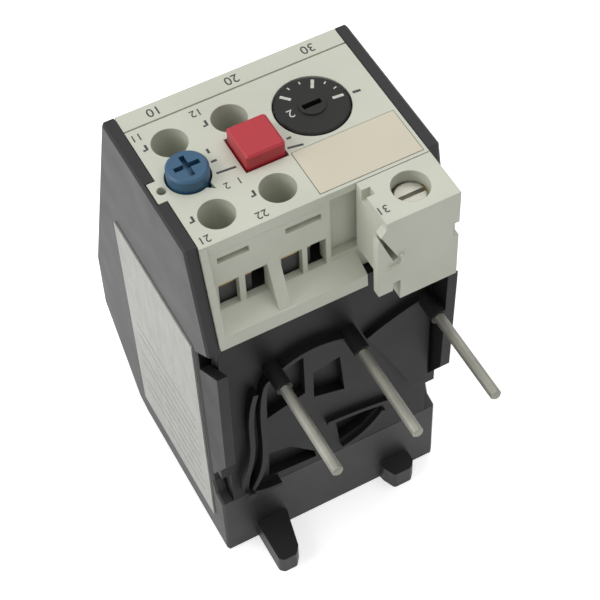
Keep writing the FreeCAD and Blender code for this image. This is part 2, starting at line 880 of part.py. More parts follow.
def shroud_wall():
    near = box(-cover_half, cover_half, cover_near_y, cover_near_y + cover_skin, cover_bottom, cover_under)
    pocket_wall = box(coil_left - pocket_left - cheek, coil_left + pocket_right + cheek, cover_near_y,
                      cover_near_y + cover_pocket_depth + pocket_back, opening_z0, cover_under)
    return [near, pocket_wall]


def shroud_toe():
    """Floor under the wire openings, sloping out to a ledge, with an end cheek and dividers."""
    root_y = cover_near_y + cover_skin / 2
    toe_z = opening_z0 - toe_slope
    low_z = cover_bottom + 1
    floor = side_prism([
        (cover_near_y + cover_skin, opening_z0), (cover_near_y, opening_z0), (cover_toe_y, toe_z),
        (cover_toe_y - 0.2, cover_bottom), (cover_near_y + cover_skin, cover_bottom),
    ], -cover_half, coil_left - seam)
    end = side_prism([
        (root_y, cover_under), (cover_near_y, cover_under), (cover_near_y, front_z),
        (cover_toe_y, toe_z), (cover_toe_y, low_z), (root_y, low_z),
    ], -cover_half, -cover_half + cheek)
    top_z = opening_z0 + opening_height + 0.5
    middle = side_prism([
        (root_y, top_z), (cover_near_y, top_z), (cover_toe_y + 0.4, toe_z + 0.2),
        (cover_toe_y + 0.4, low_z), (root_y, low_z),
    ], aux_x[0] + wire_gap_left, aux_x[1] - wire_gap_right)
    return [floor, end, middle]


def cover_bosses():
    reset = post(reset_x, reset_y, plate_z + 4, front_z, reset_radius + boss_wall)
    guide = post(aux_x[0], aux_far_y, plate_z, cover_under, well_radius + well_wall + fit)
    dial = post(dial_x, dial_y, cover_under - 2, front_z, dial_radius + boss_wall)
    return [reset.cut(guide), dial]


def cover_holes():
    wells = [post(x, y, plate_z, front_z + 1, well_radius) for x in aux_x for y in (aux_far_y, aux_near_y)]
    reset_head = post(reset_x, reset_y, cover_under, front_z + 1, reset_radius + running)
    reset_room = post(reset_x, reset_y, plate_z, cover_under, reset_radius + collar_rim + running)
    stop = box(stop_x - stop_width / 2 - running, stop_x + stop_width / 2 + running,
               stop_y - stop_length / 2 - running, stop_y + stop_length / 2 + running,
               cover_under - 5, front_z + 1)
    dial_well = post(dial_x, dial_y, cover_under, front_z + 1, dial_radius + running)
    dial_bore = post(dial_x, dial_y, cover_under - 3, front_z, dial_shaft_radius + fit)
    return wells + [reset_head, reset_room, stop, dial_well, dial_bore]


def strip_groove():
    """Fine line between the front face and its marking strip."""
    return box(-cover_half - 1, cover_half + 1, end_y - strip_line - strip_line_width, end_y - strip_line,
               front_z - strip_line_depth, front_z + 1)


def shroud_slots():
    """Blind slots high in the near wall, one above each pair of wire openings."""
    top = front_z - slot_line_drop
    spans = [(aux_x[0] - 2.8, aux_x[0] + 2.7), (aux_x[1] - 1.5, aux_x[1] + 4.8)]
    return [box(x0, x1, cover_near_y - 1, cover_near_y + slot_line_depth, top - slot_line_height, top)
            for x0, x1 in spans]


def cover_pocket():
    """Plain recess beside the coil terminal block."""
    return box(coil_left - pocket_left, coil_left + pocket_right, cover_near_y - 1,
               cover_near_y + cover_pocket_depth, opening_z0 + 1, front_z - cover_pocket_top)


def label_recess(gap):
    """Shallow recess for the plate between the dial and the near edge."""
    return box(dial_x - dial_radius - boss_wall - gap, cover_half - plate_margin + gap,
               cover_near_y + plate_margin - gap, dial_y - dial_radius - 1.0 + gap,
               front_z - plate_depth, front_z + 1)


def front_cover():
    tab = cover_tab(0).fuse(box(-inner, -cover_half + 1, tab_near_y, tab_far_y, cover_under, front_z))
    body = fuse(cover_shell() + cover_bosses() + [tab])
    peep = post(-cover_half, peep_y, cover_under - 1, front_z + 1, peep_radius)
    marks = [strip_groove(), label_recess(0.0), pointer_notch()]
    return body.cut(cover_holes() + marks + [cover_pocket(), peep])


def terminal_shroud():
    """Near wall of the auxiliary terminals with its wire openings."""
    body = fuse(shroud_wall() + shroud_toe())
    return body.cut(wire_openings() + shroud_slots() + [cover_pocket()])


def screw_guides(y):
    """Two tubes that lead a screwdriver from the front face to one row of screws."""
    z0 = front_z - guide_drop
    tubes = [post(x, y, z0, cover_under, well_radius + well_wall) for x in aux_x]
    web = box(aux_x[0], aux_x[1], y - guide_web / 2, y + guide_web / 2, cover_under - guide_web, cover_under)
    return fuse(tubes + [web]).cut([post(x, y, z0 - 1, cover_under + 1, well_radius) for x in aux_x])


def front_label_plate():
    block = label_recess(-0.1)
    return block.common(box(-half, half, -width, width, front_z - plate_depth, front_z + fit))


# ---------------------------------------------------------------- dial and buttons
def setting_dial():
    head_z = cover_under + slide_play
    face_z = front_z + dial_proud
    tip_z = cover_under - dial_shaft_length
    head = post(dial_x, dial_y, head_z, face_z, dial_radius)
    rim = [e for e in head.Edges if e.Closed and e.Curve.Center.z > front_z]
    head = head.makeChamfer(dial_bevel, rim)
    shaft = post(dial_x, dial_y, tip_z, head_z, dial_shaft_radius)
    cam = post(dial_x + cam_offset, dial_y, tip_z, tip_z + cam_thick, dial_shaft_radius + cam_lift)
    hub = post(dial_x, dial_y, front_z, face_z + dial_hub_rise, dial_hub_radius)
    slot = box(dial_x - dial_slot_length / 2, dial_x + dial_slot_length / 2, dial_y - dial_slot_width / 2,
               dial_y + dial_slot_width / 2, front_z - dial_slot_depth, front_z + 1)
    return fuse([head, hub, shaft, cam]).cut(slot)


def stop_button():
    head = box(stop_x - stop_width / 2, stop_x + stop_width / 2, stop_y - stop_length / 2,
               stop_y + stop_length / 2, cover_under - stop_skirt, front_z + stop_proud)
    head = head.makeFillet(stop_round, [e for e in head.Edges if e.BoundBox.ZLength > 1])
    head = head.makeChamfer(stop_bevel, [e for e in head.Edges if e.BoundBox.ZMin > front_z])
    stem = post(stop_x, stop_y, frame_z + stem_foot, cover_under - stop_skirt, stop_stem_radius)
    return head.fuse(stem).removeSplitter()


def reset_collar():
    ring = post(reset_x, reset_y, plate_z + 3.4, cover_under - reset_travel + 0.5, reset_radius + collar_rim)
    return ring.cut(post(reset_x, reset_y, plate_z, cover_under, reset_stem_radius + fit))


def reset_button():
    head_z = cover_under + reset_head_lift
    head = post(reset_x, reset_y, head_z, front_z + reset_proud, reset_radius)
    rim = [e for e in head.Edges if e.Closed and e.Curve.Center.z > front_z]
    head = head.makeChamfer(head_bevel, rim)
    stem = post(reset_x, reset_y, frame_z + stem_foot - 0.5, head_z, reset_stem_radius)
    top = front_z + reset_proud
    arms = [box(reset_x - x, reset_x + x, reset_y - y, reset_y + y, top - cross_depth, top + 1)
            for x, y in ((cross_length / 2, cross_width / 2), (cross_width / 2, cross_length / 2))]
    return head.fuse(stem).removeSplitter().cut(arms)


def coil_spring(x, y, z0, z1, radius, wire, turns):
    pitch = (z1 - z0 - 2 * wire) / turns
    helix = Part.makeHelix(pitch, pitch * turns, radius)
    corners = [V(radius - wire, 0, -wire), V(radius + wire, 0, -wire), V(radius + wire, 0, wire),
               V(radius - wire, 0, wire)]
    profile = Part.makePolygon(corners + corners[:1])
    spring = Part.Wire(helix).makePipeShell([profile], True, True)
    spring.translate(V(x, y, z0 + wire))
    return spring


def stop_spring():
    return coil_spring(stop_x, stop_y, frame_z + frame_thick, cover_under - stop_skirt, stop_spring_radius,
                       stop_spring_wire, stop_spring_turns)


def reset_spring():
    return coil_spring(reset_x, reset_y, frame_z + frame_thick, frame_z + stem_foot - 0.5,
                       reset_spring_radius, reset_spring_wire, reset_spring_turns)


# ---------------------------------------------------------------- coil terminal block
def coil_latch():
    """Flat release latch on the near left corner of the coil terminal block."""
    x = latch_left
    foot_z = front_z - foot_drop
    body_z = front_z - corner_drop + 1
    return front_prism([
        (coil_left + corner_cut, front_z - 1.5), (coil_left, front_z - 1.5), (x, front_z - 3.2),
        (x - 0.2, front_z - 5.0), (x, foot_z), (x + latch_foot, foot_z), (x + latch_foot, body_z),
        (coil_left + corner_cut, body_z),
    ], coil_near_y, coil_near_y + latch_thick)


def coil_latch_rim():
    """Raised rim round the lower end of the latch's slot."""
    path = [(coil_left + 2.6, front_z - 8.6), (coil_left + 2.4, front_z - 10.8),
            (coil_left + 0.6, front_z - 11.1)]
    return smooth_wall(path, coil_near_y - rib_reach / 2, coil_near_y + fit, latch_rim_thick)


def coil_latch_slot():
    """Slanted slot of the latch, wider at its lower end."""
    return front_prism([
        (coil_left - 1.3, front_z - 3.0), (coil_left - 0.9, front_z - 2.8), (coil_left + 2.2, front_z - 9.4),
        (coil_left + 1.3, front_z - 9.9),
    ], coil_near_y - 1, coil_near_y + latch_slot_depth)


def coil_terminal_block():
    y1 = cover_near_y - seam
    body = box(coil_left, cover_half, coil_near_y, y1, coil_bottom, front_z)
    corner = box(coil_left - 1, coil_left + corner_cut, coil_near_y - 1, y1 + 1, coil_bottom - 1,
                 front_z - corner_drop)
    body = fuse([body.cut(corner), coil_latch(), coil_latch_rim()])
    x = coil_screw_x
    well = post(x, coil_screw_y, coil_plate_z, front_z + 1, coil_head_radius + running)
    room = box(x - 4.2, cover_half + 1, coil_screw_y - strap_half, coil_screw_y + strap_half,
               coil_plate_z - plate_thick, coil_plate_z + washer_thick + clamp_travel + running)
    shank = post(x, coil_screw_y, coil_plate_z - screw_length + 0.8, coil_plate_z, screw_radius + 0.5)
    nick = box(coil_left - 1, coil_left + 1.5, coil_screw_y + 1.4, coil_screw_y + 3.0,
               front_z - 2.5, front_z + 1)
    side_hole = box(cover_half - 1, cover_half + 1, coil_near_y - 1, coil_near_y + side_hole_width,
                    front_z - side_hole_drop, front_z - side_hole_drop + side_hole_height)
    return body.cut([well, room, shank, nick, side_hole, coil_latch_slot()])


def coil_strap():
    x = coil_screw_x
    z1 = coil_plate_z
    plate = box(x - 3.6, x + 4.4, coil_screw_y - strap_half, coil_screw_y + strap_half, z1 - plate_thick, z1)
    return plate.cut(post(x, coil_screw_y, z1 - 2, z1 + 1, screw_radius + fit))


# ---------------------------------------------------------------- labels
def side_label():
    return box(-half - label_thick, -half, rim_y + label_inset, label_far_y, label_bottom,
               front_z - label_drop)


# ---------------------------------------------------------------- build
save("base_housing", base_housing())
save("pin_carrier", pin_carrier())
save("mechanism_frame", mechanism_frame())
save("front_cover", front_cover())
save("terminal_shroud", terminal_shroud())
save("front_label_plate", front_label_plate())
save("side_label", side_label())
save("coil_terminal_block", coil_terminal_block())
save("coil_terminal_strap", coil_strap())
save("coil_clamp", clamp_washer(coil_screw_x, coil_screw_y, coil_plate_z))
save("coil_screw", terminal_screw(coil_screw_x, coil_screw_y, coil_plate_z + washer_thick, coil_head_radius))
for n in range(3):
    pole = str(n + 1)
    save("line_pin_" + pole, line_pin(pins[n]))
    save("pin_strap_" + pole, pin_strap(poles[n], pins[n]))
    save("bimetal_strip_" + pole, bimetal_strip(poles[n]))
    save("heater_winding_" + pole, heater_winding(poles[n]))
    save("load_tongue_" + pole, load_tongue(poles[n]))
    save("load_clamp_" + pole, load_clamp(poles[n]))
    save("load_screw_" + pole, load_screw(poles[n]))
save("trip_slide", trip_slide())
save("trip_lever", trip_lever())
save("lever_pin", lever_pin())
save("contact_carrier", contact_carrier())
save("opening_bridge", contact_bridge(aux_far_y, contact_x - 2 * rivet_height - bridge_thick, 1))
save("closing_bridge", contact_bridge(aux_near_y, contact_x + plate_thick + 2.9, -1))
for row, y in (("far", aux_far_y), ("near", aux_near_y)):
    save("screw_guides_" + row, screw_guides(y))
    save("aux_terminal_" + row + "_left", left_terminal(y))
    save("aux_terminal_" + row + "_right", right_terminal(y))
    for side, x in (("left", aux_x[0]), ("right", aux_x[1])):
        save("aux_clamp_" + row + "_" + side, clamp_washer(x, y, plate_z + plate_thick))
        save("aux_screw_" + row + "_" + side, terminal_screw(x, y, plate_z + plate_thick + washer_thick))
save("setting_dial", setting_dial())
save("stop_button", stop_button())
save("stop_spring", stop_spring())
save("reset_collar", reset_collar())
save("reset_button", reset_button())
save("reset_spring", reset_spring())
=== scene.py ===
import json
import math

import bmesh
import bpy
from mathutils import Matrix, Vector


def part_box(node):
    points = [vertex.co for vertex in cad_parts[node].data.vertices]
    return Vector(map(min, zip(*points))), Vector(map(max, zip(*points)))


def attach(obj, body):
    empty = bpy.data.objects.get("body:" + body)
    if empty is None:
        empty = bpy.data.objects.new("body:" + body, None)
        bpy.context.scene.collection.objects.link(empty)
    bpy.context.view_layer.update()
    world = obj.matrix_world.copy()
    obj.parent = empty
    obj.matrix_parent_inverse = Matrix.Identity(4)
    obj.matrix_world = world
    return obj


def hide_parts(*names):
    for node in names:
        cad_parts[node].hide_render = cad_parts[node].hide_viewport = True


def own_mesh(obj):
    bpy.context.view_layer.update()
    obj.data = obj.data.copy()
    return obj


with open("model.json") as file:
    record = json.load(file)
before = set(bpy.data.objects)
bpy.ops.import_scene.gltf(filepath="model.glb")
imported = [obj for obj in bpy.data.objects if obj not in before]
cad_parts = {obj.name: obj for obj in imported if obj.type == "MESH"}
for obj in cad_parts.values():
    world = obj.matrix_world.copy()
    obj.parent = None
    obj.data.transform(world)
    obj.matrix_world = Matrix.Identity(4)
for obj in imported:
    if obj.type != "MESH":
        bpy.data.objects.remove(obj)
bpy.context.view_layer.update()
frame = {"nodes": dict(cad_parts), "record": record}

NODES = frame["nodes"]
MM = 0.001


# ---------------------------------------------------------------- camera
CAMERA_AZIMUTH = math.radians(-25.83)
CAMERA_ELEVATION = math.radians(53.55)
CAMERA_ROLL = math.radians(-2.91)
CAMERA_PLACE = Vector((-0.0788, -0.1711, 0.2987))
CAMERA_LENS = 105.9
CAMERA_SENSOR = 36.0
CAMERA_NEAR = 0.01


def add_camera():
    """A long lens over the near left corner, with a small roll."""
    az, el, roll = CAMERA_AZIMUTH, CAMERA_ELEVATION, CAMERA_ROLL
    back = Vector((math.sin(az) * math.cos(el), -math.cos(az) * math.cos(el), math.sin(el)))
    right = (-back).cross(Vector((0, 0, 1))).normalized()
    up = right.cross(-back)
    rolled_right = math.cos(roll) * right + math.sin(roll) * up
    rolled_up = -math.sin(roll) * right + math.cos(roll) * up
    data = bpy.data.cameras.new("camera")
    data.sensor_width = CAMERA_SENSOR
    data.lens = CAMERA_LENS
    data.clip_start = CAMERA_NEAR
    camera = bpy.data.objects.new("camera", data)
    axes = Matrix((rolled_right, rolled_up, back)).transposed()
    camera.matrix_world = Matrix.Translation(CAMERA_PLACE) @ axes.to_4x4()
    bpy.context.scene.collection.objects.link(camera)
    bpy.context.scene.camera = camera


# ---------------------------------------------------------------- light and floor
LAMP_TARGET = Vector((0, 0, 0.05))
WORLD_LIGHT = 0.31
WHITE = (1, 1, 1, 1)
FLOOR_REACH = 3.0
FLOOR_COLOUR = (0.92, 0.92, 0.92)
FLOOR_ROUGHNESS = 0.9
FLOOR_GLOW = 0.55


def add_area_light(name, place, size, power):
    """Square lamp of the given side, aimed at the middle of the relay."""
    data = bpy.data.lights.new(name, "AREA")
    data.shape = "SQUARE"
    data.size = size
    data.energy = power
    lamp = bpy.data.objects.new(name, data)
    lamp.location = place
    lamp.rotation_euler = (LAMP_TARGET - Vector(place)).to_track_quat("-Z", "Y").to_euler()
    bpy.context.scene.collection.objects.link(lamp)


def add_lights():
    """Large soft lamps from the left and overhead, with a faint fill in front."""
    add_area_light("left_softbox", place=(-0.75, 0.15, 0.55), size=0.7, power=4.4)
    add_area_light("top_softbox", place=(0.2, 0.02, 0.92), size=0.8, power=4.0)
    add_area_light("front_fill", place=(0.35, -0.8, 0.45), size=0.9, power=0.35)


def add_world():
    """White surroundings that light the object only weakly."""
    world = bpy.data.worlds.new("studio")
    world.use_nodes = True
    tree = world.node_tree
    background = tree.nodes["Background"]
    background.inputs["Color"].default_value = WHITE
    plain = maths(tree, "MULTIPLY", seen_directly(tree), 1 - WORLD_LIGHT)
    tree.links.new(maths(tree, "ADD", plain, WORLD_LIGHT), background.inputs["Strength"])
    bpy.context.scene.world = world


def add_floor():
    """Pale floor that the camera and reflections see as white, with the object's shadow kept."""
    mesh = bpy.data.meshes.new("floor")
    side = FLOOR_REACH
    corners = [(-side, -side, 0), (side, -side, 0), (side, side, 0), (-side, side, 0)]
    mesh.from_pydata(corners, [], [(0, 1, 2, 3)])
    floor = bpy.data.objects.new("floor", mesh)
    bpy.context.scene.collection.objects.link(floor)
    material, tree, shader = new_material("floor_white", FLOOR_COLOUR, FLOOR_ROUGHNESS)
    shader.inputs["Emission Color"].default_value = WHITE
    glow = maths(tree, "MULTIPLY", seen_directly(tree), FLOOR_GLOW)
    tree.links.new(glow, shader.inputs["Emission Strength"])
    mesh.materials.append(material)


# ---------------------------------------------------------------- shader helpers
def new_material(name, colour, roughness, metallic=0.0, specular=0.5):
    material = bpy.data.materials.new(name)
    material.use_nodes = True
    shader = material.node_tree.nodes["Principled BSDF"]
    shader.inputs["Base Color"].default_value = (*colour, 1)
    shader.inputs["Roughness"].default_value = roughness
    shader.inputs["Metallic"].default_value = metallic
    shader.inputs["Specular IOR Level"].default_value = specular
    return material, material.node_tree, shader


def maths(tree, operation, *values):
    """Math node on numbers or sockets."""
    node = tree.nodes.new("ShaderNodeMath")
    node.operation = operation
    for socket, value in zip(node.inputs, values):
        if isinstance(value, bpy.types.NodeSocket):
            tree.links.new(value, socket)
        else:
            socket.default_value = value
    return node.outputs[0]


def seen_directly(tree):
    """1 for what the camera, a reflection or a clear surface sees, 0 for light on the object."""
    path = tree.nodes.new("ShaderNodeLightPath")
    through = maths(tree, "MAXIMUM", path.outputs["Is Glossy Ray"], path.outputs["Is Transmission Ray"])
    return maths(tree, "MAXIMUM", path.outputs["Is Camera Ray"], through)


def object_coordinates(tree):
    return tree.nodes.new("ShaderNodeTexCoord").outputs["Object"]


def noise(tree, scale, detail, stretch=(1, 1, 1)):
    """Noise with about scale patches per metre, times the stretch along each axis."""
    mapping = tree.nodes.new("ShaderNodeMapping")
    mapping.inputs["Scale"].default_value = stretch
    texture = tree.nodes.new("ShaderNodeTexNoise")
    texture.inputs["Scale"].default_value = scale
    texture.inputs["Detail"].default_value = detail
    tree.links.new(object_coordinates(tree), mapping.inputs["Vector"])
    tree.links.new(mapping.outputs["Vector"], texture.inputs["Vector"])
    return texture.outputs["Fac"]


def ramp(tree, source, low, high, start=0.3, end=0.7):
    """Colour from low to high as the source goes from start to end."""
    node = tree.nodes.new("ShaderNodeValToRGB")
    node.color_ramp.elements[0].position = start
    node.color_ramp.elements[1].position = end
    node.color_ramp.elements[0].color = (*low, 1)
    node.color_ramp.elements[1].color = (*high, 1)
    tree.links.new(source, node.inputs["Fac"])
    return node.outputs["Color"]


def spread(tree, source, low, high):
    """Number from low to high as the source goes from 0 to 1."""
    node = tree.nodes.new("ShaderNodeMapRange")
    node.inputs["To Min"].default_value = low
    node.inputs["To Max"].default_value = high
    tree.links.new(source, node.inputs["Value"])
    return node.outputs["Result"]


def bump(tree, shader, source, strength, distance, edge=0.0):
    """Bump from a height; a radius above zero also rounds the look of the edges."""
    node = tree.nodes.new("ShaderNodeBump")
    node.inputs["Strength"].default_value = strength
    node.inputs["Distance"].default_value = distance
    tree.links.new(source, node.inputs["Height"])
    tree.links.new(node.outputs["Normal"], shader.inputs["Normal"])
    if edge:
        rounding = tree.nodes.new("ShaderNodeBevel")
        rounding.inputs["Radius"].default_value = edge
        tree.links.new(rounding.outputs["Normal"], node.inputs["Normal"])


def shade(colour, factor):
    return tuple(min(1.0, channel * factor) for channel in colour)


# ---------------------------------------------------------------- kinds of surface
# DULL and BRIGHT are shares of a surface's own colour, SMOOTHER and ROUGHER shifts of its roughness.
MOULDED_EDGE = 0.15 * MM
MOULDED_SMOOTHER = 0.06
MOULDED_ROUGHER = 0.08
METAL_EDGE = 0.08 * MM
METAL_DULL = 0.75
METAL_SMOOTHER = 0.08
METAL_ROUGHER = 0.15
THREAD_PITCH = 0.7 * MM
THREAD_ROUGHER = 0.2
SCREW_HEAD = 2.3 * MM
SCREW_DULL = 0.78
SCREW_MARKS = 0.08
FOIL_STREAKS = 0.6
FOIL_DULL = 0.86
FOIL_BRIGHT = 1.08
INK_DULL = 0.85
INK_BRIGHT = 1.2
INK_PALER = 0.02


def moulded_plastic(name, colour, roughness, grain=2600, depth=0.03 * MM, variation=0.06, specular=0.5):
    """Moulded plastic: spark-eroded grain, faint cloudy colour, uneven gloss and soft edges."""
    material, tree, shader = new_material(name, colour, roughness, specular=specular)
    cloud = noise(tree, scale=60, detail=4)
    tint = ramp(tree, cloud, shade(colour, 1 - variation), shade(colour, 1 + variation))
    tree.links.new(tint, shader.inputs["Base Color"])
    gloss = noise(tree, scale=140, detail=5)
    uneven = spread(tree, gloss, roughness - MOULDED_SMOOTHER, roughness + MOULDED_ROUGHER)
    tree.links.new(uneven, shader.inputs["Roughness"])
    bump(tree, shader, noise(tree, grain, detail=2), strength=0.35, distance=depth, edge=MOULDED_EDGE)
    return material


def metal(name, colour, roughness, stretch=(1, 1, 1)):
    """Drawn or rolled metal: fine lines, which a stretch lays along one axis, and dull patches."""
    material, tree, shader = new_material(name, colour, roughness, metallic=1.0)
    tint = ramp(tree, noise(tree, scale=180, detail=4), shade(colour, METAL_DULL), colour)
    tree.links.new(tint, shader.inputs["Base Color"])
    lines = noise(tree, scale=900, detail=3, stretch=stretch)
    uneven = spread(tree, lines, roughness - METAL_SMOOTHER, roughness + METAL_ROUGHER)
    tree.links.new(uneven, shader.inputs["Roughness"])
    bump(tree, shader, lines, strength=0.25, distance=0.02 * MM, edge=METAL_EDGE)
    return material


def threaded_metal(name, colour, roughness, head_z):
    """Plated screw: fine marks all over, and thread flanks below the head, at height head_z."""
    material, tree, shader = new_material(name, colour, roughness, metallic=1.0)
    tint = ramp(tree, noise(tree, scale=240, detail=4), shade(colour, SCREW_DULL), colour)
    tree.links.new(tint, shader.inputs["Base Color"])
    split = tree.nodes.new("ShaderNodeSeparateXYZ")
    tree.links.new(object_coordinates(tree), split.inputs[0])
    height = split.outputs["Z"]
    flank = maths(tree, "PINGPONG", height, THREAD_PITCH / 2)
    shank = maths(tree, "LESS_THAN", height, head_z)
    ridges = maths(tree, "MULTIPLY", maths(tree, "DIVIDE", flank, THREAD_PITCH / 2), shank)
    marks = maths(tree, "MULTIPLY", noise(tree, scale=1500, detail=3), SCREW_MARKS)
    bump(tree, shader, maths(tree, "ADD", ridges, marks), strength=1.0, distance=THREAD_PITCH / 3)
    groove = maths(tree, "SUBTRACT", shank, ridges)
    uneven = spread(tree, groove, roughness, roughness + THREAD_ROUGHER)
    tree.links.new(uneven, shader.inputs["Roughness"])
    return material


def label_foil(name, colour):
    """Silver-grey label with faint streaks and fine speckle in its lacquer."""
    material, tree, shader = new_material(name, colour, roughness=0.5, metallic=0.1)
    streaks = noise(tree, scale=160, detail=5, stretch=(1, 4, 1))
    speckle = noise(tree, scale=1900, detail=2)
    streak_part = maths(tree, "MULTIPLY", streaks, FOIL_STREAKS)
    speckle_part = maths(tree, "MULTIPLY", speckle, 1 - FOIL_STREAKS)
    mixed = maths(tree, "ADD", streak_part, speckle_part)
    low, high = shade(colour, FOIL_DULL), shade(colour, FOIL_BRIGHT)
    mottled = ramp(tree, mixed, low, high, start=0.35, end=0.65)
    tree.links.new(mottled, shader.inputs["Base Color"])
    uneven = spread(tree, noise(tree, scale=250, detail=4), low=0.45, high=0.62)
    tree.links.new(uneven, shader.inputs["Roughness"])
    bump(tree, shader, speckle, strength=0.12, distance=0.02 * MM)
    return material


def printing_ink(name, colour):
    """Pad-printed ink: slightly uneven where the grain below shows through."""
    material, tree, shader = new_material(name, colour, roughness=0.55)
    thin = tuple(channel * INK_BRIGHT + INK_PALER for channel in colour)
    worn = ramp(tree, noise(tree, scale=2200, detail=4), shade(colour, INK_DULL), thin)
    tree.links.new(worn, shader.inputs["Base Color"])
    uneven = spread(tree, noise(tree, scale=900, detail=3), low=0.5, high=0.68)
    tree.links.new(uneven, shader.inputs["Roughness"])
    bump(tree, shader, noise(tree, scale=2600, detail=2), strength=0.3, distance=0.01 * MM)
    return material


# ---------------------------------------------------------------- materials of this relay
COVER_COLOUR = (0.57, 0.585, 0.495)


def black_plastic():
    return moulded_plastic("black_housing", (0.012, 0.012, 0.012), roughness=0.46, specular=0.35)


def shaded_carrier_plastic():
    """Housing plastic with coarser grain and less sheen; its darker colour is painted shade for the
    carrier under the lip.
    """
    return moulded_plastic("shaded_black_carrier", (0.009, 0.009, 0.009), roughness=0.5, grain=1500, specular=0.2)


def inner_plastic():
    return moulded_plastic("dark_inner", (0.05, 0.05, 0.05), roughness=0.5)


def cover_plastic():
    return moulded_plastic("grey_cover", COVER_COLOUR, roughness=0.5)


def block_plastic():
    return moulded_plastic("grey_block", COVER_COLOUR, roughness=0.5)


def dial_plastic():
    return moulded_plastic("black_dial", (0.012, 0.012, 0.011), roughness=0.45, specular=0.25)


def red_plastic():
    return moulded_plastic("red_button", (0.42, 0.018, 0.03), roughness=0.4)


def blue_plastic():
    return moulded_plastic("blue_button", (0.022, 0.085, 0.16), roughness=0.42)


def front_label():
    """Beige plate, with shallower grain and more even colour than the mouldings."""
    return moulded_plastic("beige_plate", (0.61, 0.57, 0.45), roughness=0.42, grain=1800,
                           depth=0.01 * MM, variation=0.04)


def side_label():
    return label_foil("foil_label", (0.40, 0.40, 0.375))


def tinned_pin():
    """Tinned copper bar, drawn along Y."""
    return metal("tinned_copper", (0.29, 0.285, 0.25), roughness=0.5, stretch=(40, 1, 40))


def spring_steel():
    return metal("drawn_wire", (0.45, 0.45, 0.44), roughness=0.3)


def plated_steel():
    return metal("zinc_plate", (0.48, 0.47, 0.40), roughness=0.38)


def bimetal():
    """Strip rolled along its length, which stands upright."""
    return metal("rolled_strip", (0.45, 0.42, 0.38), roughness=0.4, stretch=(20, 20, 1))


def heater_wire():
    return metal("flat_wire", (0.30, 0.27, 0.24), roughness=0.5)


def brass():
    return metal("stamped_brass", (0.58, 0.42, 0.16), roughness=0.36)


def screw_plating(node):
    """Plating of one screw, whose thread starts under its own head."""
    head_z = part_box(node)[1][2] - SCREW_HEAD
    return threaded_metal(node + "_plating", (0.46, 0.45, 0.39), roughness=0.4, head_z=head_z)


def make_materials():
    """One material for each material slot of the record."""
    makers = (black_plastic, inner_plastic, cover_plastic, block_plastic, front_label, side_label,
              dial_plastic, red_plastic, blue_plastic, tinned_pin, spring_steel, plated_steel,
              bimetal, heater_wire, brass)
    return {make.__name__: make() for make in makers}


def dress_nodes(materials):
    """Each CAD node gets its slot's material; the pin carrier gets its own darker copy, which is painted
    shade, and the screws get their own.
    """
    slots = {part["node"]: part["material_slot"] for part in frame["record"]["subparts"]}
    for name, node in NODES.items():
        if name == "pin_carrier":
            # darker copy of the black plastic: painted shade on the pin carrier
            material = shaded_carrier_plastic()
        elif "_screw" in name:
            material = screw_plating(name)
        else:
            material = materials[slots[name]]
        for slot in node.material_slots:
            slot.material = material


# ---------------------------------------------------------------- pieces
def centre(name):
    low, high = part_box(name)
    return (Vector(low) + Vector(high)) / 2


def ride(piece, body, material):
    bpy.context.scene.collection.objects.link(piece)
    piece.data.materials.append(material)
    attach(piece, body)


def closed_mesh(name, mesh):
    """Mesh data from a finished closed bmesh, with its faces turned outwards."""
    bmesh.ops.recalc_face_normals(mesh, faces=mesh.faces)
    data = bpy.data.meshes.new(name)
    mesh.to_mesh(data)
    mesh.free()
    return data


# ---------------------------------------------------------------- ink
INK_RISE = 0.03 * MM
FIGURE_SMOOTHNESS = 3


def number(name, digits, place, size, body, material):
    """Plain figures on an upward face, upside down as seen from the near side."""
    data = bpy.data.curves.new(name, "FONT")
    data.body = digits
    data.size = size
    data.align_x = "CENTER"
    data.align_y = "CENTER"
    data.extrude = INK_RISE / 2
    data.resolution_u = FIGURE_SMOOTHNESS
    piece = bpy.data.objects.new(name, data)
    piece.matrix_world = Matrix.Translation(place) @ Matrix.Rotation(math.pi, 4, "Z")
    ride(piece, body, material)


def edge_points(points, width):
    """Pair of points, left and right, at each point of a line that is that wide."""
    rows = []
    for n, point in enumerate(points):
        before = points[max(n - 1, 0)]
        after = points[min(n + 1, len(points) - 1)]
        along = (after - before).normalized()
        side = Vector((-along.y, along.x)) * width / 2
        rows.append([point + side, point - side])
    return rows


def add_stroke(mesh, path, width, top):
    """One flat ink line with square ends, between INK_RISE below top and top."""
    rows = edge_points([Vector((x, y)) for x, y in path], width)
    low = [[mesh.verts.new((*point, top - INK_RISE)) for point in row] for row in rows]
    high = [[mesh.verts.new((*point, top)) for point in row] for row in rows]
    for n in range(len(rows) - 1):
        mesh.faces.new((high[n][0], high[n][1], high[n + 1][1], high[n + 1][0]))
        mesh.faces.new((low[n][1], low[n][0], low[n + 1][0], low[n + 1][1]))
        mesh.faces.new((high[n][1], low[n][1], low[n + 1][1], high[n + 1][1]))
        mesh.faces.new((low[n][0], high[n][0], high[n + 1][0], low[n + 1][0]))
    for n in (0, -1):
        mesh.faces.new((high[n][0], low[n][0], low[n][1], high[n][1]))


def stroke_mesh(name, paths, width, top):
    """Ink lines of even width along paths of (x, y) points."""
    mesh = bmesh.new()
    for path in paths:
        add_stroke(mesh, path, width, top)
    return closed_mesh(name, mesh)


def strokes(name, paths, width, top, body, material):
    piece = bpy.data.objects.new(name, stroke_mesh(name, paths, width, top))
    ride(piece, body, material)


def spoke(middle, inner, outer, degrees):
    """Radial line between two radii at an angle from +X."""
    angle = math.radians(degrees)
    return [(middle.x + r * math.cos(angle), middle.y + r * math.sin(angle)) for r in (inner, outer)]


def beside(point, offsets):
    """Path of points at offsets, in millimetres, from a point."""
    return [(point.x + x * MM, point.y + y * MM) for x, y in offsets]


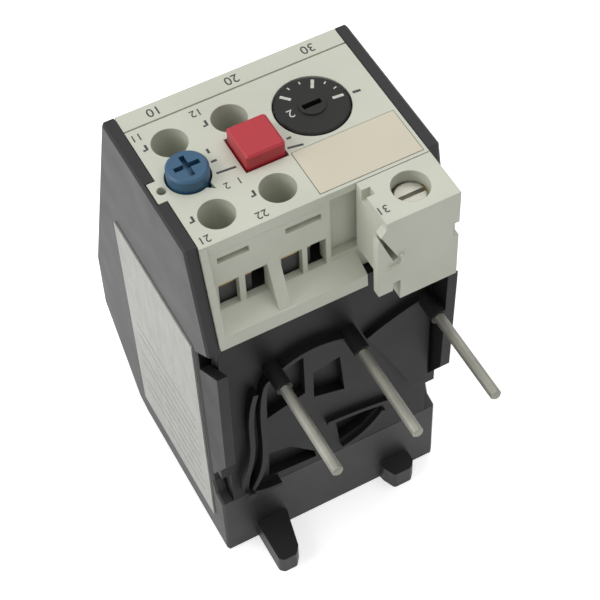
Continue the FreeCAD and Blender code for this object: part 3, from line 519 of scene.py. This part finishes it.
# ---------------------------------------------------------------- marks on the dial
DIAL_PROUD = 0.2 * MM
TICK_END = 5.5 * MM
TICK_START = 3.6 * MM
TICK_WIDTH = 0.55 * MM
TICK_DEGREES = (-6, 61, 133)
FINE_TICK_START = 4.9 * MM
FINE_TICK_WIDTH = 0.22 * MM
FINE_TICK_DEGREES = (16, 38, 85, 109)
DIAL_FIGURE = "2"
DIAL_FIGURE_SIZE = 2.4 * MM
DIAL_FIGURE_RADIUS = 3.9 * MM


def print_dial(ink):
    """Scale ticks and one figure on the setting dial."""
    body, slot = "dial", "dial_plastic"
    middle = centre("setting_dial")
    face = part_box("front_cover")[1][2] + DIAL_PROUD + INK_RISE
    ticks = [spoke(middle, TICK_START, TICK_END, degrees) for degrees in TICK_DEGREES]
    strokes("dial_ticks", ticks, TICK_WIDTH, face, body, ink)
    fine = [spoke(middle, FINE_TICK_START, TICK_END, degrees) for degrees in FINE_TICK_DEGREES]
    strokes("dial_fine_ticks", fine, FINE_TICK_WIDTH, face, body, ink)
    place = (middle.x - DIAL_FIGURE_RADIUS, middle.y, face)
    number("dial_figure", DIAL_FIGURE, place, DIAL_FIGURE_SIZE, body, ink)


# ---------------------------------------------------------------- marks on the front
# Offsets are in millimetres from the centre of what the mark belongs to.
STRIP_FIGURE_SIZE = 2.6 * MM
STRIP_FIGURE_INSET = 1.8 * MM
WELL_FIGURE_SIZE = 2.1 * MM
WELL_FIGURES = {
    "far_left": ("11", (-4.2, 3.6)),
    "far_right": ("12", (-4.2, 3.7)),
    "near_left": ("21", (-3.9, -3.5)),
    "near_right": ("22", (-4.6, -3.4)),
}
WELL_MARK = ((-4.4, 0.4), (-3.7, 0.4), (-3.7, 1.5))
RESET_MARKS = (
    ((4.1, -1.7), (7.4, -2.0)),
    ((5.0, 2.6), (5.0, 3.6)),
    ((4.4, 0.8), (5.4, 0.8)),
)
STOP_MARKS = (
    ((4.2, -2.6), (6.8, -3.1)),
    ((5.0, -0.8), (5.8, -0.8)),
)
MARK_WIDTH = 0.42 * MM
RESET_FIGURE_SIZE = 1.9 * MM
RESET_FIGURES = {"1": (6.6, -4.7), "2": (4.4, -4.7)}
INDEX_START = 7.1 * MM
INDEX_END = 8.5 * MM
INDEX_DEGREES = -6
INDEX_WIDTH = 0.5 * MM
COIL_FIGURE = "31"
COIL_FIGURE_SIZE = 2.2 * MM
COIL_FIGURE_INSET = 2.4 * MM
COIL_FIGURE_DROP = 1.6 * MM


def front_top():
    """Top of the ink on the front face."""
    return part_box("front_cover")[1][2] + INK_RISE


def print_figure(name, digits, point, size, ink):
    number(name, digits, (*point, front_top()), size, "relay", ink)


def print_strip(ink):
    """A figure for each pole, along the far edge of the front."""
    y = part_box("front_cover")[1][1] - STRIP_FIGURE_INSET
    for pole in (1, 2, 3):
        x = centre("load_screw_%d" % pole).x
        print_figure("strip_figure_%d" % pole, "%d0" % pole, (x, y), STRIP_FIGURE_SIZE, ink)


def print_wells(ink):
    """A figure beside each auxiliary well; returns the hooked mark of each."""
    marks = []
    for well, (digits, offset) in WELL_FIGURES.items():
        middle = centre("aux_screw_" + well)
        point = beside(middle, [offset])[0]
        print_figure("well_figure_" + well, digits, point, WELL_FIGURE_SIZE, ink)
        marks.append(beside(middle, WELL_MARK))
    return marks


def print_front(ink):
    """Generic figures and contact marks on the front face."""
    print_strip(ink)
    marks = print_wells(ink)
    reset = centre("reset_button")
    stop = centre("stop_button")
    marks += [beside(reset, mark) for mark in RESET_MARKS]
    marks += [beside(stop, mark) for mark in STOP_MARKS]
    strokes("contact_marks", marks, MARK_WIDTH, front_top(), "relay", ink)
    for digit, offset in RESET_FIGURES.items():
        print_figure("reset_figure_" + digit, digit, beside(reset, [offset])[0], RESET_FIGURE_SIZE, ink)
    index = spoke(centre("setting_dial"), INDEX_START, INDEX_END, INDEX_DEGREES)
    strokes("dial_index", [index], INDEX_WIDTH, front_top(), "relay", ink)
    middle = centre("coil_terminal_block")
    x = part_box("coil_terminal_block")[0][0] + COIL_FIGURE_INSET
    point = (x, middle.y - COIL_FIGURE_DROP)
    print_figure("coil_figure", COIL_FIGURE, point, COIL_FIGURE_SIZE, ink)


# ---------------------------------------------------------------- rules on the side label
RULE_COUNT = 9
RULE_WIDTH = 0.18 * MM
RULE_FIRST = 0.08
RULE_STEP = 0.055
RULE_START = 0.1
RULE_END = 0.9
SHORT_RULE_END = 0.62
SHORT_RULE_EVERY = 3


def print_side_label(ink):
    """Faint ruled rows low on the side label, placed as shares of its height and width."""
    low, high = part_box("side_label")
    width = high[1] - low[1]
    height = high[2] - low[2]
    rows = []
    for n in range(RULE_COUNT):
        z = low[2] + (RULE_FIRST + RULE_STEP * n) * height
        end = RULE_END if n % SHORT_RULE_EVERY else SHORT_RULE_END
        rows.append([(low[1] + RULE_START * width, z), (low[1] + end * width, z)])
    data = stroke_mesh("label_rules", rows, RULE_WIDTH, INK_RISE)
    onto_left_face = Matrix(((0, 0, -1, low[0]), (1, 0, 0, 0), (0, 1, 0, 0), (0, 0, 0, 1)))
    data.transform(onto_left_face)
    data.flip_normals()
    ride(bpy.data.objects.new("label_rules", data), "relay", ink)


# ---------------------------------------------------------------- return springs
POINTS_PER_TURN = 24
WIRE_SIDES = 10
CLOSED_TURNS = 0.8
CLOSED_PITCH_IN_WIRES = 1.1
STOP_SPRING = {"turns": 6.6, "wire_radius": 0.28 * MM}
RESET_SPRING = {"turns": 4.6, "wire_radius": 0.2 * MM}


def coil_height(turn, turns, closed_rise, rise):
    """Height of the wire after so many turns: the end turns lie closed, the rest open."""
    if turn < CLOSED_TURNS:
        return closed_rise * turn / CLOSED_TURNS
    if turn > turns - CLOSED_TURNS:
        return rise - closed_rise * (turns - turn) / CLOSED_TURNS
    return closed_rise + (rise - 2 * closed_rise) * (turn - CLOSED_TURNS) / (turns - 2 * CLOSED_TURNS)


def wire_ring(mesh, core, outward, wire_radius):
    """Points round the wire at core, in the plane of outward and the vertical."""
    ring = []
    for side in range(WIRE_SIDES):
        angle = 2 * math.pi * side / WIRE_SIDES
        upward = Vector((0, 0, wire_radius * math.sin(angle)))
        ring.append(mesh.verts.new(core + outward * wire_radius * math.cos(angle) + upward))
    return ring


def spring_mesh(name, low, high, turns, wire_radius):
    """Round-wire compression spring that fills the box between two corners."""
    middle = (Vector(low) + Vector(high)) / 2
    coil_radius = (high[0] - low[0]) / 2 - wire_radius
    rise = high[2] - low[2] - 2 * wire_radius
    closed_rise = 2 * wire_radius * CLOSED_TURNS * CLOSED_PITCH_IN_WIRES
    steps = int(turns * POINTS_PER_TURN)
    mesh = bmesh.new()
    rings = []
    for n in range(steps + 1):
        turn = turns * n / steps
        outward = Vector((math.cos(2 * math.pi * turn), math.sin(2 * math.pi * turn), 0))
        z = low[2] + wire_radius + coil_height(turn, turns, closed_rise, rise)
        core = Vector((middle.x, middle.y, z)) + outward * coil_radius
        rings.append(wire_ring(mesh, core, outward, wire_radius))
    for first, second in zip(rings, rings[1:]):
        for k in range(WIRE_SIDES):
            m = (k + 1) % WIRE_SIDES
            mesh.faces.new((first[k], first[m], second[m], second[k])).smooth = True
    mesh.faces.new(rings[0][::-1])
    mesh.faces.new(rings[-1])
    return closed_mesh(name, mesh)


def add_spring(node, spring, material):
    """Wound spring that stands for a CAD spring."""
    low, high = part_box(node)
    name = node + "_wire"
    piece = bpy.data.objects.new(name, spring_mesh(name, low, high, **spring))
    ride(piece, "relay", material)
    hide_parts(node)
    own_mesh(piece)


# ---------------------------------------------------------------- build
bpy.context.scene.view_settings.view_transform = "Standard"
add_camera()
add_lights()
add_world()
add_floor()
materials = make_materials()
dress_nodes(materials)
print_dial(printing_ink("white_ink", (0.55, 0.55, 0.5)))
print_front(printing_ink("black_ink", (0.03, 0.03, 0.03)))
print_side_label(printing_ink("grey_ink", (0.26, 0.26, 0.245)))
add_spring("stop_spring", STOP_SPRING, materials["spring_steel"])
add_spring("reset_spring", RESET_SPRING, materials["spring_steel"])
